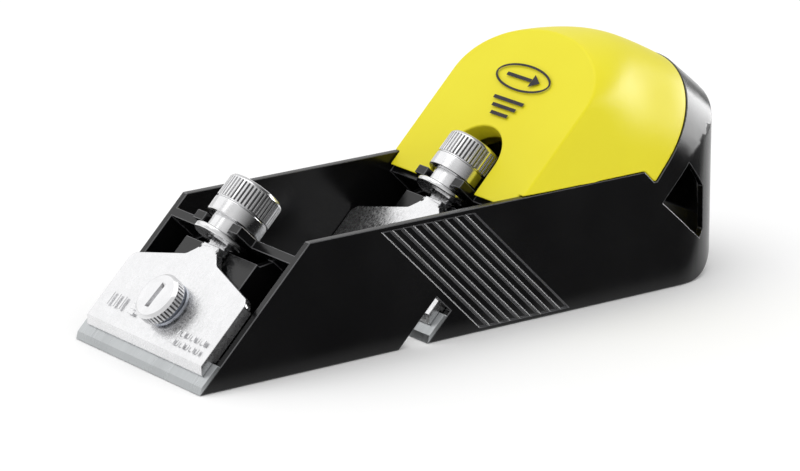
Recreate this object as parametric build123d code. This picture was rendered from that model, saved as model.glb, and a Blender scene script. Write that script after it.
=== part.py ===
from build123d import *
import os
from math import cos, radians, sin, tan

# A small two-bladed hand plane. +X runs from the toe to the heel, +Z up, and the sole is at Z = 0.
# Each blade unit is drawn in the frame of its own bed: X up the slope from the cutting edge,
# Y across the plane, and Z straight out of the bed.

# Driving dimensions, in millimetres
LENGTH = 155.0
WIDTH = 50.0
CHEEK_HEIGHT = 29.4
UNIT_SPACING = 61.6
BLADE_WIDTH = 50.0
CHEEK_WALL = 1.8
HEEL_WALL = 2.2
FLOOR = 3.0
GAP = 0.3
FIT = 0.1

# Body
TOE_X = -LENGTH / 2
HEEL_X = LENGTH / 2
HALF_WIDTH = WIDTH / 2
INNER_HALF = HALF_WIDTH - CHEEK_WALL
HEEL_CORNER = 20.5
HEEL_ROUND = 17.0
CHEEK_END_X = 46.6
SEAM_ANGLE = 50.0
SEAM_X = 50.35
SEAM_Z = 26.5
ARCH_CENTRE = 5.0
CREST_ROUND = 14.0
ARCH_INSET = 0.4
DEEP = 200.0
TALL = 90.0
BEYOND = 10.0

# Blade units
EDGE_X = {"front": TOE_X, "mid": TOE_X + UNIT_SPACING}
BED_PLATE = 3.0
BED_LENGTH = 32.5
BED_GRIP = 0.5
WEB_DROP = 4.0
WEB_END = 36.4
BED_HALF = 14.0
BED_RIB = 2.0
BED_DEPTH = 60.0
TOE_LENGTH = 9.2
MOUTH_DEPTH = 5.66

BLADE_THICKNESS = 0.9
BLADE_BEVEL = 1.6
BLADE_FULL = 7.6
BLADE_LENGTH = 21.0
BLADE_TAIL = 42.0

HOLDER_WIDTH = 46.0
HOLDER_TOP = 3.0
HOLDER_START = 3.9
HOLDER_CHAMFER = 1.6
HOLDER_HOLLOW = 0.6
HOLDER_SIDE_END = 22.0
HOLDER_CORNER = 1.6
FLANGE_IN = 21.3
FLANGE_START = 8.0
FLANGE_END = 21.6
FLANGE_LOW = 0.15
HOLDER_SHOULDER = 23.4
HOLDER_STEP = 1.2
HOLDER_NECK = 27.7
NECK_STEP = 2.7
NECK_HALF = 3.3
NECK_THICK = 1.6
NECK_END = 44.0
THREAD_PITCH = 1.0
TOOTH_SHARE = 0.6

PIN_AT = 10.5
PIN_SIDE = 14.0
PIN_RADIUS = 1.5
PIN_PLAY = 0.05
PIN_LOW = 0.2
PIN_UP = 1.3
PIN_BOSS = 1.2
BLADE_SLOT = 2.6
SLOT_TRAVEL = 1.7
NECK_START = 31.8
NECK_BEND = 2.6
THREAD_START = 30.0

NUT_AXIS = 1.0
NUT_BORE = 3.5
NUT_START = 33.6
NUT_GROOVE_START = 35.0
NUT_COLLAR_START = 38.6
NUT_KNURL_START = 42.4
NUT_END = 48.7
NUT_FLANGE = 7.0
NUT_GROOVE = 4.9
NUT_COLLAR = 6.9
NUT_KNURL = 6.95
NUT_EDGE = 0.6
FORK_START = 35.4
FORK_THICK = 2.2
FORK_ARM = 5.5
FORK_ARM_OUT = 8.6
FORK_SLOT = 5.1

CLAMP_AT = 15.2
CLAMP_SHANK = 2.0
CLAMP_HEAD = 6.0
CLAMP_HEAD_HEIGHT = 3.2
CLAMP_REACH = 7.0
COIN_SLOT_TURN = -4.0
COIN_SLOT_WIDTH = 1.4
COIN_SLOT_DEPTH = 1.2
COIN_RADIUS = 5.2
CLAMP_HEAD_EDGE = 0.7
WASHER_THICK = 0.4
WASHER_RADIUS = 5.4
SPRING_RADIUS = 4.6
SPLIT_TURN = 20.0
SPLIT_WIDTH = 0.8
INSERT_RADIUS = 3.0
INSERT_DEPTH = 8.0
CLAMP_BOSS_WALL = 1.8
CLAMP_BOSS_DEPTH = 12.0

# Handle
HANDLE_FACE = 1.63
HANDLE_WALL = 2.8
HANDLE_FOOT = 35.1
SKIRT_HALF = INNER_HALF - GAP
CUT_HALF = 9.2
CUT_CENTRE = 44.4

# Grip grooves, heel windows and handle screws
GROOVES = 9
GROOVE_START = -0.2
GROOVE_STEP = 2.92
GROOVE_WIDTH = 2.2
GROOVE_DEPTH = 0.4
GROOVE_LOW = 1.0
GROOVE_HIGH = 28.2
WINDOW = [(52.2, 21.0), (60.2, 29.4), (63.4, 25.6), (66.0, 22.3), (66.2, 11.8), (64.8, 10.0), (60.75, 13.2)]
WINDOW_INNER = 10.0
SCREW_X = {"front": 47.0, "rear": 62.0}
SCREW_SHANK = 2.0
SCREW_HEAD = 3.6
SCREW_SUNK = 3.2
SCREW_HEAD_HEIGHT = 2.4
DRIVE_LENGTH = 4.0
DRIVE_WIDTH = 1.0
BOSS_RADIUS = 4.5
BOSS_TOP = 14.0
HANDLE_ROLL = 4.5
HANDLE_SECTIONS = {
    "face": (24.6, 64.5, 16.5, 30.0),
    "roll": (24.9, 67.0, 18.2, 30.0),
    "crown": (24.95, 0.0, 24.95, -26.0),
    "back": (24.9, 2.6, 24.45, -20.0),
    "seam": (24.75, ARCH_CENTRE, 24.75, -14.0),
}
SKIRT_DROP = 2.6
LIP_HALF = 22.4
LIP_WALL = 2.0
LIP_DEPTH = 5.0
LIP_ROOT = 3.0
LIP_LOW = 20.0
CUT_RIM = 1.6
CUT_RIM_FOOT = 3.5
CUT_STEP = 0.5
CUT_DEPTH = 5.0
POST_RADIUS = 4.0
POST_TOP = 70.0
SCREW_GRIP = 10.0


def bed_frame(unit):
    """Frame of a unit's bed: X up the slope, Z out of the bed."""
    return Plane(origin=(EDGE_X[unit], 0, 0), x_dir=(1, 0, 1), z_dir=(-1, 0, 1)).location


def side_prism(points, half_width):
    """Solid with the given outline in X and Z, as wide as asked across Y."""
    face = make_face(Plane.XZ * Polyline(*points, close=True))
    return extrude(face, amount=half_width, both=True)


def upright(start, end, low, high, half_width):
    """Block between two places along X and two heights."""
    return side_prism([(start, low), (end, low), (end, high), (start, high)], half_width)


def tube(radius, start, length, axis_height=0.0):
    """Cylinder along X."""
    return Pos(start + length / 2, 0, axis_height) * Rot(0, 90, 0) * Cylinder(radius, length)


def seam_plane():
    """Plane in which the handle meets the arch of the body; its Y runs up the slope."""
    slope = radians(SEAM_ANGLE)
    return Plane(origin=(SEAM_X, 0, SEAM_Z), x_dir=(0, 1, 0), z_dir=(sin(slope), 0, -cos(slope)))


def tombstone(half_width, centre, rise, foot):
    """Flat outline with straight sides and an arched top."""
    sides = [
        Line((-half_width, foot), (-half_width, centre)),
        EllipticalCenterArc((0, centre), half_width, rise, arc_size=180),
        Line((half_width, centre), (half_width, foot)),
        Line((half_width, foot), (-half_width, foot)),
    ]
    return make_face(Curve() + sides)


def plan_prism(inset, low, high):
    """The plan outline, square at the toe and round at the heel, as a solid."""
    middle = Pos(-(BEYOND + inset) / 2, 0, (low + high) / 2)
    box = middle * Box(LENGTH + BEYOND - inset, WIDTH - 2 * inset, high - low)
    corners = box.edges().filter_by(Axis.Z).sort_by(Axis.X)[-2:]
    return fillet(corners, HEEL_CORNER - inset)


def side_block(x_high, low, corner, high):
    """Everything from the toe to the heel and above a floor, with a round heel corner."""
    ahead = TOE_X - BEYOND
    block = side_prism([(ahead, low), (x_high, low), (x_high, high), (ahead, high)], HALF_WIDTH + BEYOND)
    edge = block.edges().filter_by(Axis.Y).sort_by(Axis.X)[-2:].sort_by(Axis.Z)[0]
    return fillet(edge, corner)


def arch_prism(half_width, rise):
    """Tunnel that follows the arch, at right angles to the seam plane."""
    face = seam_plane().location * tombstone(half_width, ARCH_CENTRE, rise, -DEEP)
    return extrude(face, amount=DEEP, both=True)


def crest_block(grow):
    """Side outline of the arch's crest, rounded over into the heel."""
    slope = radians(SEAM_ANGLE)
    rise = ARCH_CENTRE + HALF_WIDTH - grow
    top = (SEAM_X + rise * cos(slope), SEAM_Z + rise * sin(slope))
    fall = (HEEL_X - grow - top[0]) / tan(slope)
    back = HEEL_X - grow
    ahead = (top[0] - DEEP * sin(slope), top[1] + DEEP * cos(slope))
    outline = [ahead, (back, top[1] - fall), (back, -DEEP), (ahead[0], -DEEP)]
    block = side_prism(outline, HALF_WIDTH + BEYOND)
    corner = block.edges().filter_by(Axis.Y).sort_by(Axis.X)[-2:].sort_by(Axis.Z)[-1]
    return fillet(corner, CREST_ROUND - grow)


def body_envelope():
    """Outside of the body with nothing cut out of it."""
    drop = CHEEK_HEIGHT - SEAM_Z
    lower = side_prism(
        [
            (TOE_X, 0),
            (TOE_X + CHEEK_HEIGHT, CHEEK_HEIGHT),
            (CHEEK_END_X, CHEEK_HEIGHT),
            (CHEEK_END_X + drop, SEAM_Z),
            (HEEL_X, SEAM_Z),
            (HEEL_X, 0),
        ],
        HALF_WIDTH,
    )
    behind = extrude(seam_plane().location * Rectangle(DEEP, DEEP), amount=DEEP)
    upper = arch_prism(HALF_WIDTH, HALF_WIDTH) & behind
    upper = upper & (Pos(0, 0, DEEP / 2) * Box(DEEP, DEEP, DEEP))
    plan = plan_prism(0, -BEYOND, TALL)
    upper = upper & plan & crest_block(0)
    return ((lower & plan) + upper) & side_block(HEEL_X, 0, HEEL_ROUND, TALL)


def body_hollow():
    """Space inside the cheeks, the heel and the arch."""
    plan = plan_prism(CHEEK_WALL, -BEYOND, TALL)
    inside = arch_prism(INNER_HALF - ARCH_INSET, INNER_HALF - ARCH_INSET) & crest_block(HEEL_WALL)
    block = side_block(HEEL_X - HEEL_WALL, FLOOR, HEEL_ROUND - HEEL_WALL, TALL)
    ahead = TOE_X - BEYOND
    front = side_prism([(ahead, FLOOR), (SEAM_X, FLOOR), (SEAM_X, TALL), (ahead, TALL)], INNER_HALF)
    return (plan & inside & block) + (front & arch_prism(INNER_HALF, INNER_HALF))


def bed_block(unit):
    """Bed plate, its two ribs, the boss of the clamp and the wall with the fork of one unit."""
    fork_end = FORK_START + FORK_THICK
    full = INNER_HALF + BED_GRIP
    toe = upright(-BED_PLATE, TOE_LENGTH, -BED_PLATE, 0, full)
    plate = upright(0, BED_LENGTH, -BED_PLATE, 0, BED_HALF)
    wall = upright(FORK_START, fork_end, -BED_DEPTH, 0, full)
    arms = upright(FORK_START, fork_end, -1, FORK_ARM, FORK_ARM_OUT)
    rib = [(0, -1), (BED_LENGTH, -1), (WEB_END, -WEB_DROP), (WEB_END, -BED_DEPTH), (0, -BED_DEPTH)]
    web = side_prism(rib, BED_RIB / 2)
    ribs = [Pos(0, side * (BED_HALF - BED_RIB / 2), 0) * web for side in (-1, 1)]
    boss = Cylinder(INSERT_RADIUS + CLAMP_BOSS_WALL, CLAMP_BOSS_DEPTH)
    boss = Pos(CLAMP_AT, 0, -CLAMP_BOSS_DEPTH / 2) * boss
    slot = tube(FORK_SLOT, FORK_START - 1, FORK_THICK + 2, NUT_AXIS)
    slot += upright(FORK_START - 1, fork_end + 1, NUT_AXIS, 2 * FORK_ARM, FORK_SLOT)
    block = toe + plate + wall + arms + ribs[0] + ribs[1] + boss - slot
    block -= Pos(CLAMP_AT, 0, -INSERT_DEPTH / 2) * Cylinder(INSERT_RADIUS, INSERT_DEPTH)
    return bed_frame(unit) * block


def grip_grooves():
    """Slanting grooves in the outside of both cheeks."""
    grooves = []
    for count in range(GROOVES):
        start = GROOVE_START + count * GROOVE_STEP
        lean = [(start - z, z) for z in (GROOVE_LOW, GROOVE_HIGH)]
        outline = lean + [(x + GROOVE_WIDTH, z) for x, z in reversed(lean)]
        bar = side_prism(outline, GROOVE_DEPTH)
        grooves += [Pos(0, side * HALF_WIDTH, 0) * bar for side in (-1, 1)]
    return grooves


def heel_windows():
    """Three-sided openings through both corners of the heel."""
    outline = side_prism(WINDOW, HALF_WIDTH + 1)
    return outline - Box(DEEP, 2 * WINDOW_INNER, DEEP)


def screw_boss(x):
    """Post that rises from the sole and takes one handle screw from below."""
    post = Pos(x, 0, BOSS_TOP / 2) * Cylinder(BOSS_RADIUS, BOSS_TOP)
    recess = Pos(x, 0, SCREW_SUNK / 2) * Cylinder(SCREW_HEAD + GAP, SCREW_SUNK)
    return post, recess + Pos(x, 0, BOSS_TOP / 2) * Cylinder(SCREW_SHANK + FIT, BOSS_TOP)


def body():
    shell = body_envelope() - body_hollow()
    for unit in EDGE_X:
        shell += bed_block(unit) & side_block(HEEL_X, 0, HEEL_ROUND, TALL)
    mouth = upright(-MOUTH_DEPTH - 1, TOE_LENGTH, 0, MOUTH_DEPTH, HALF_WIDTH + 1)
    shell -= bed_frame("mid") * mouth
    shell -= grip_grooves()
    shell -= heel_windows()
    for x in SCREW_X.values():
        post, bore = screw_boss(x)
        shell = shell + post - bore
    return shell


def across(x, z, slope):
    """Plane at right angles to the handle's crest; its Y runs up the slope."""
    turn = radians(slope)
    return Plane(origin=(x, 0, z), x_dir=(0, 1, 0), z_dir=(sin(turn), 0, -cos(turn))).location


def handle_skin(inset, face):
    """Domed outside of the handle, from its flat front face back to the arch."""
    bed = bed_frame("mid") * Plane(origin=(0, 0, face), x_dir=(0, 1, 0), z_dir=(0, 0, -1)).location
    places = {
        "face": bed,
        "roll": bed * Pos(0, 0, HANDLE_ROLL),
        "crown": across(39.4, 37.5, 48),
        "back": across(45.7, 32.2, 49),
        "seam": seam_plane().location,
    }
    sections = []
    for name, (half_width, centre, rise, foot) in HANDLE_SECTIONS.items():
        sections.append(places[name] * tombstone(half_width - inset, centre, rise - inset, foot))
    return loft(sections)


def above_body():
    """Everything over the cheeks' upper edge and its step down at the rear."""
    drop = CHEEK_HEIGHT - SEAM_Z
    step = CHEEK_END_X + FIT
    far = HEEL_X + BEYOND
    outline = [(-BEYOND, CHEEK_HEIGHT + FIT), (step, CHEEK_HEIGHT + FIT), (step + drop, SEAM_Z + FIT)]
    outline += [(far, SEAM_Z + FIT), (far, TALL), (-BEYOND, TALL)]
    return side_prism(outline, HALF_WIDTH + 2)


def handle_lip():
    """Rim that tucks inside the arch of the body."""
    lip = arch_prism(LIP_HALF, LIP_HALF) - arch_prism(LIP_HALF - LIP_WALL, LIP_HALF - LIP_WALL)
    band = seam_plane().location * Pos(0, 0, -LIP_ROOT) * Rectangle(DEEP, DEEP)
    lip &= extrude(band, amount=LIP_ROOT + LIP_DEPTH)
    return lip & upright(0, TALL, LIP_LOW, TALL, HALF_WIDTH)


def handle():
    """Hollow domed handle that stands on the cheeks and tucks inside the arch."""
    bed = bed_frame("mid")
    skin = handle_skin(0, HANDLE_FACE)
    inner = handle_skin(HANDLE_WALL, HANDLE_FACE - HANDLE_WALL)
    ahead = extrude(seam_plane().location * Pos(0, 0, -FIT) * Rectangle(DEEP, DEEP), amount=-DEEP)
    cover = (skin & above_body() & ahead) - inner
    skirt = upright(-BEYOND, HEEL_X, CHEEK_HEIGHT - SKIRT_DROP, CHEEK_HEIGHT + 1, SKIRT_HALF)
    skirt = (skin & skirt & ahead) - inner
    rim = nut_cut(CUT_RIM, HANDLE_FACE - CUT_STEP, HANDLE_FOOT + CUT_RIM_FOOT)
    cut = nut_cut(0, HANDLE_FACE + CUT_DEPTH, HANDLE_FOOT - CUT_DEPTH)
    shell = cover + skirt + handle_lip() + bed * rim - bed * cut
    for x in SCREW_X.values():
        post = Pos(x, 0, (BOSS_TOP + POST_TOP) / 2) * Cylinder(POST_RADIUS, POST_TOP - BOSS_TOP)
        low = Pos(x, 0, 0) * Box(4 * POST_RADIUS, 4 * POST_RADIUS, 2 * seam_height(x) + 4)
        shell += post & (skin + low)
        shell -= Pos(x, 0, BOSS_TOP + SCREW_GRIP / 2) * Cylinder(SCREW_SHANK, SCREW_GRIP)
    return shell


def nut_cut(grow, top, foot):
    """Arched block that makes the handle's opening round the depth nut."""
    outline = Plane(origin=(0, 0, top), x_dir=(0, 1, 0), z_dir=(0, 0, -1)).location
    half = CUT_HALF + grow
    return extrude(outline * tombstone(half, CUT_CENTRE, half, foot), amount=top - HANDLE_FACE + CUT_DEPTH)


def seam_height(x):
    """Height of the seam plane above a place on the sole, but never under the skirt."""
    return max(CHEEK_HEIGHT, SEAM_Z + (x - SEAM_X) * tan(radians(SEAM_ANGLE)))


def handle_screw(x):
    """Screw with a cross-shaped drive, seen from below."""
    length = BOSS_TOP + SCREW_GRIP - 1 - SCREW_SUNK
    screw = Pos(x, 0, SCREW_SUNK - SCREW_HEAD_HEIGHT / 2) * Cylinder(SCREW_HEAD, SCREW_HEAD_HEIGHT)
    screw += Pos(x, 0, SCREW_SUNK + length / 2) * Cylinder(SCREW_SHANK, length)
    drive = Pos(x, 0, SCREW_SUNK - SCREW_HEAD_HEIGHT + DRIVE_WIDTH / 2)
    screw -= drive * Box(DRIVE_LENGTH, DRIVE_WIDTH, DRIVE_WIDTH)
    return screw - drive * Box(DRIVE_WIDTH, DRIVE_LENGTH, DRIVE_WIDTH)


def slot_hole(at, radius, travel, thick):
    """Slot that leaves the clamp screw still while its plate slides."""
    ends = [Pos(at + side * travel, 0, 0) * Cylinder(radius, thick) for side in (-1, 1)]
    return ends[0] + ends[1] + Pos(at, 0, 0) * Box(2 * travel, 2 * radius, thick)


def blade():
    """Flat blade, ground on its upper face, with its full width only near the edge."""
    profile = [(0, 0), (BLADE_LENGTH, 0), (BLADE_LENGTH, BLADE_THICKNESS), (BLADE_BEVEL, BLADE_THICKNESS)]
    plate = side_prism(profile, BLADE_WIDTH / 2)
    tail_length = BLADE_LENGTH - BLADE_FULL + 1
    for side in (-1, 1):
        corner = (BLADE_WIDTH - BLADE_TAIL) / 2
        place = Pos(BLADE_FULL + tail_length / 2, side * (BLADE_WIDTH - corner) / 2, 0)
        plate -= place * Box(tail_length, corner, 4)
        plate -= Pos(PIN_AT, side * PIN_SIDE, 0) * Cylinder(PIN_RADIUS + PIN_PLAY, 4)
    return plate - slot_hole(CLAMP_AT, BLADE_SLOT, SLOT_TRAVEL, 4)


def round_corners(plate, start, end, radius):
    """Rounds a plate's upright corners that lie between two places along X."""
    corners = [edge for edge in plate.edges().filter_by(Axis.Z) if start < edge.center().X < end]
    return fillet(corners, radius)


def holder():
    """Cast plate over the blade, with side flanges and a toothed neck."""
    half = HOLDER_WIDTH / 2
    outline = [
        (HOLDER_START, -half),
        (HOLDER_SIDE_END, -half),
        (HOLDER_SHOULDER, -half + HOLDER_STEP),
        (HOLDER_NECK, -NECK_HALF - NECK_STEP),
        (HOLDER_NECK + NECK_STEP, -NECK_HALF),
        (NECK_START, -NECK_HALF),
    ]
    outline += [(u, -y) for u, y in reversed(outline)]
    plate = extrude(make_face(Polyline(*outline, close=True)), amount=HOLDER_TOP)
    plate = round_corners(plate, HOLDER_NECK - 1, NECK_START - 0.5, NECK_BEND)
    plate = round_corners(plate, HOLDER_SIDE_END - FIT, HOLDER_SIDE_END + FIT, HOLDER_CORNER)
    plate -= upright(-NECK_START, 2 * NECK_START, 0, BLADE_THICKNESS, HALF_WIDTH)
    for side in (-1, 1):
        flange = upright(FLANGE_START, FLANGE_END, FLANGE_LOW, HOLDER_TOP, (half - FLANGE_IN) / 2)
        plate += Pos(0, side * (half + FLANGE_IN) / 2, 0) * flange
    nose = side_prism(
        [
            (HOLDER_START - 1, HOLDER_TOP - HOLDER_CHAMFER - 1),
            (HOLDER_START + HOLDER_CHAMFER + 1, HOLDER_TOP + 1),
            (HOLDER_START - 1, HOLDER_TOP + 1),
        ],
        WIDTH,
    )
    plate -= nose
    ceiling = BLADE_THICKNESS + HOLDER_HOLLOW
    plate -= upright(HOLDER_START + 3, BLADE_LENGTH - 1, BLADE_THICKNESS - 1, ceiling, half - 2)
    plate += upright(HOLDER_NECK, NECK_END, NUT_AXIS - NECK_THICK / 2, NUT_AXIS + NECK_THICK / 2, NECK_HALF)
    teeth = int((NECK_END - THREAD_START) / THREAD_PITCH)
    tooth = TOOTH_SHARE * THREAD_PITCH
    for count in range(teeth):
        for side in (-1, 1):
            place = Pos(THREAD_START + (count + 0.5) * THREAD_PITCH, side * NECK_HALF, NUT_AXIS)
            plate -= place * Rot(0, 0, 45) * Box(tooth, tooth, 6)
    plate -= Pos(0, 0, HOLDER_TOP) * slot_hole(CLAMP_AT, CLAMP_SHANK + GAP, SLOT_TRAVEL, 6)
    for side in (-1, 1):
        plate += Pos(PIN_AT, side * PIN_SIDE, BLADE_THICKNESS + 1) * Cylinder(PIN_RADIUS + PIN_BOSS, 2)
        plate -= Pos(PIN_AT, side * PIN_SIDE, BLADE_THICKNESS) * Cylinder(PIN_RADIUS, 3)
    return plate


def locating_pins():
    """Two pins pressed into the holder, which carry the blade along with it."""
    length = BLADE_THICKNESS + PIN_UP
    pin = Pos(PIN_AT, 0, PIN_LOW + length / 2) * Cylinder(PIN_RADIUS, length)
    return [Pos(0, side * PIN_SIDE, 0) * pin for side in (-1, 1)]


def depth_nut():
    """Knurled nut whose groove runs in the fork of the body."""
    solid = tube(NUT_FLANGE, NUT_START, NUT_GROOVE_START - NUT_START, NUT_AXIS)
    solid += tube(NUT_GROOVE, NUT_GROOVE_START - 0.1, NUT_COLLAR_START - NUT_GROOVE_START + 0.2, NUT_AXIS)
    solid += tube(NUT_COLLAR, NUT_COLLAR_START, NUT_KNURL_START - NUT_COLLAR_START, NUT_AXIS)
    knurl = tube(NUT_KNURL, NUT_KNURL_START, NUT_END - NUT_KNURL_START, NUT_AXIS)
    solid += chamfer(knurl.edges().filter_by(GeomType.CIRCLE).sort_by(Axis.X)[-1], NUT_EDGE)
    return solid - tube(NUT_BORE, NUT_START - 1, NUT_END - NUT_START - 1, NUT_AXIS)


def clamp_knob():
    """Knurled screw with a slot for a coin."""
    under = HOLDER_TOP + 2 * WASHER_THICK
    head = Pos(CLAMP_AT, 0, under + CLAMP_HEAD_HEIGHT / 2) * Cylinder(CLAMP_HEAD, CLAMP_HEAD_HEIGHT)
    head = chamfer(head.edges().filter_by(GeomType.CIRCLE).sort_by(Axis.Z)[-1], CLAMP_HEAD_EDGE)
    head += Pos(CLAMP_AT, 0, (under - CLAMP_REACH) / 2) * Cylinder(CLAMP_SHANK, under + CLAMP_REACH)
    coin = Pos(CLAMP_AT, 0, under + CLAMP_HEAD_HEIGHT + COIN_RADIUS - COIN_SLOT_DEPTH)
    return head - coin * Rot(0, 0, COIN_SLOT_TURN) * Rot(90, 0, 0) * Cylinder(COIN_RADIUS, COIN_SLOT_WIDTH)


def washer(radius, low):
    """Flat ring under the knob."""
    ring = Cylinder(radius, WASHER_THICK) - Cylinder(CLAMP_SHANK + GAP, 2)
    return Pos(CLAMP_AT, 0, low + WASHER_THICK / 2) * ring


def spring_washer():
    """Split ring, with its slanting gap up the slope."""
    ring = washer(SPRING_RADIUS, HOLDER_TOP + WASHER_THICK)
    split = Pos(CLAMP_AT + SPRING_RADIUS, 0, HOLDER_TOP + WASHER_THICK) * Rot(SPLIT_TURN, 0, 0)
    return ring - split * Box(2 * (SPRING_RADIUS - CLAMP_SHANK + GAP), SPLIT_WIDTH, 4)


def threaded_insert():
    """Brass sleeve in the bed's boss that takes the clamp's screw."""
    depth = INSERT_DEPTH - FIT
    ring = Cylinder(INSERT_RADIUS, depth) - Cylinder(CLAMP_SHANK + PIN_PLAY, 2 * INSERT_DEPTH)
    return Pos(CLAMP_AT, 0, -FIT - depth / 2) * ring


def unit_pieces(unit):
    """Every loose piece of one blade unit, in its place on the body."""
    pieces = {
        "blade": blade(),
        "holder": holder(),
        "locating_pins": Compound(locating_pins()),
        "depth_nut": depth_nut(),
        "clamp_knob": clamp_knob(),
        "flat_washer": washer(WASHER_RADIUS, HOLDER_TOP),
        "spring_washer": spring_washer(),
        "threaded_insert": threaded_insert(),
    }
    return {f"{unit}_{name}": bed_frame(unit) * piece for name, piece in pieces.items()}


def main():
    nodes = {"body": body(), "handle": handle()}
    for place, x in SCREW_X.items():
        nodes[f"handle_screw_{place}"] = handle_screw(x)
    for unit in EDGE_X:
        nodes.update(unit_pieces(unit))
    os.makedirs("parts", exist_ok=True)
    for name, solid in nodes.items():
        export_step(solid, f"parts/{name}.step")


main()
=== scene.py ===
from math import atan2, cos, pi, radians, sin

import bpy
from mathutils import Matrix, Vector


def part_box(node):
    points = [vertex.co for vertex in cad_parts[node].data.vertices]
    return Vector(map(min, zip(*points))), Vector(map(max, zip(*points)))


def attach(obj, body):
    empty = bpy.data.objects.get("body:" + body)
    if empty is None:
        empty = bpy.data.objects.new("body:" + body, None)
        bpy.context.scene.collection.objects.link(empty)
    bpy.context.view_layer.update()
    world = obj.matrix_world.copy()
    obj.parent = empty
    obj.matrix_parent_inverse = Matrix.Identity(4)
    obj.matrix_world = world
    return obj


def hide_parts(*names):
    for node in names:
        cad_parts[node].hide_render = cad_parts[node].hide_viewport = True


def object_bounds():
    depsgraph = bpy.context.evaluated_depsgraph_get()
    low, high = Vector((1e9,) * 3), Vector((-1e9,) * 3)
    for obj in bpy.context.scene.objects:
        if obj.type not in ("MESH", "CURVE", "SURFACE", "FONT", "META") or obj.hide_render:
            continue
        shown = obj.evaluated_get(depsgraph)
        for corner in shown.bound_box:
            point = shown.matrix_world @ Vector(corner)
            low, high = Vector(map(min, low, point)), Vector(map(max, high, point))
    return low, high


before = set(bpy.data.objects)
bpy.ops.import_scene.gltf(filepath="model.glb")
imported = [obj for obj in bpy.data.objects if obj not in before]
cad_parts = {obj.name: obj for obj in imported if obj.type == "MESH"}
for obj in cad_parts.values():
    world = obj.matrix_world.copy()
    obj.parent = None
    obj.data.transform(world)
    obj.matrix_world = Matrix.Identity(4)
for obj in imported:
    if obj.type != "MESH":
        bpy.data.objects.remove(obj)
cad_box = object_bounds()

bl_info = {
    "name": "Twin Blade Hand Plane",
    "version": (1, 0, 0),
    "blender": (4, 5, 0),
    "location": "View3D > Sidebar > Hand Plane",
    "description": "Finishes a moulded hand plane with two blade units round its design model",
    "category": "Object",
}

MM = 0.001
UNITS = ("front", "mid")
SLOPE = Vector((1, 0, 1)).normalized()
OUT = Vector((-1, 0, 1)).normalized()
ACROSS = Vector((0, 1, 0))
CLAMP_ALONG = 15.2 * MM


def nut_centre(unit):
    """Middle of a unit's depth nut, from the design model's box."""
    low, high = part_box(f"{unit}_depth_nut")
    return (low + high) / 2


def knob_centre(unit):
    """Middle of a unit's clamp knob, from the design model's box."""
    low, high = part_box(f"{unit}_clamp_knob")
    return (low + high) / 2


def edge_place(unit):
    """Just ahead of where a unit's bed meets the sole, by its blade's thickness over root two."""
    low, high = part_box(f"{unit}_blade")
    return Vector((high.x - (high.z - low.z) + low.z, 0, 0))


# Sizes and colours


def length_setting(label, words, millimetres, most=20):
    return bpy.props.FloatProperty(
        name=label,
        description=words,
        unit="LENGTH",
        default=millimetres * MM,
        min=0,
        max=most * MM,
        precision=5,
    )


def colour_setting(label, words, value):
    return bpy.props.FloatVectorProperty(
        name=label, description=words, subtype="COLOR", size=3, min=0, max=1, default=value
    )


class HandPlaneSizes(bpy.types.PropertyGroup):
    """Sizes of the fine details."""

    body_edge: length_setting("Body edge", "Rounding of the moulded body's edges", 0.2)
    handle_edge: length_setting("Handle edge", "Rounding of the handle's edges", 0.45)
    plate_edge: length_setting("Plate edge", "Rounding of the cast plates' edges", 0.18)
    blade_edge: length_setting("Blade edge", "Rounding of the blades' upper edges", 0.04)
    nut_knurl: length_setting("Nut knurl", "Depth of the depth nut's straight knurl", 0.36)
    knob_knurl: length_setting("Knob knurl", "Depth of the clamp knob's straight knurl", 0.34)
    coin_slot: length_setting("Coin slot", "Width of the slot in the clamp knob", 1.4)
    mark_height: length_setting("Mark height", "How far the cast marks stand out of the plates", 0.22)
    nut_teeth: bpy.props.IntProperty(
        name="Nut teeth", description="Ridges round a depth nut", default=44, min=12
    )
    knob_teeth: bpy.props.IntProperty(
        name="Knob teeth", description="Ridges round a clamp knob", default=40, min=12
    )


class HandPlaneFinish(bpy.types.PropertyGroup):
    """Colours of the materials."""

    body_colour: colour_setting("Body colour", "Black of the moulded body", (0.0035, 0.0035, 0.0038))
    # The edge grey is a painted highlight on the body's bevel faces, not a colour of the moulding.
    edge_highlight_colour: colour_setting("Edge highlight colour", "Grey painted on the body's edges as a highlight", (0.09, 0.09, 0.095))
    handle_colour: colour_setting("Handle colour", "Yellow of the palm handle", (0.84, 0.755, 0.02))
    handle_shade: colour_setting(
        "Handle shade", "Deeper yellow between the handle's flow marks", (0.79, 0.66, 0.008)
    )
    plate_colour: colour_setting(
        "Plating colour", "Bright plating of holders, nuts and knobs", (0.84, 0.84, 0.85)
    )
    blade_colour: colour_setting("Blade colour", "Ground steel of the blades", (0.56, 0.58, 0.59))
    zinc_colour: colour_setting("Zinc colour", "Zinc plating of screws, pins and washers", (0.55, 0.56, 0.58))
    brass_colour: colour_setting("Brass colour", "Turned brass of the threaded sleeves", (0.72, 0.55, 0.25))
    ink_colour: colour_setting("Ink colour", "Dark print on the handle", (0.012, 0.010, 0.014))
    floor_colour: colour_setting("Floor colour", "Pale studio floor", (1.0, 1.0, 1.0))


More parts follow.
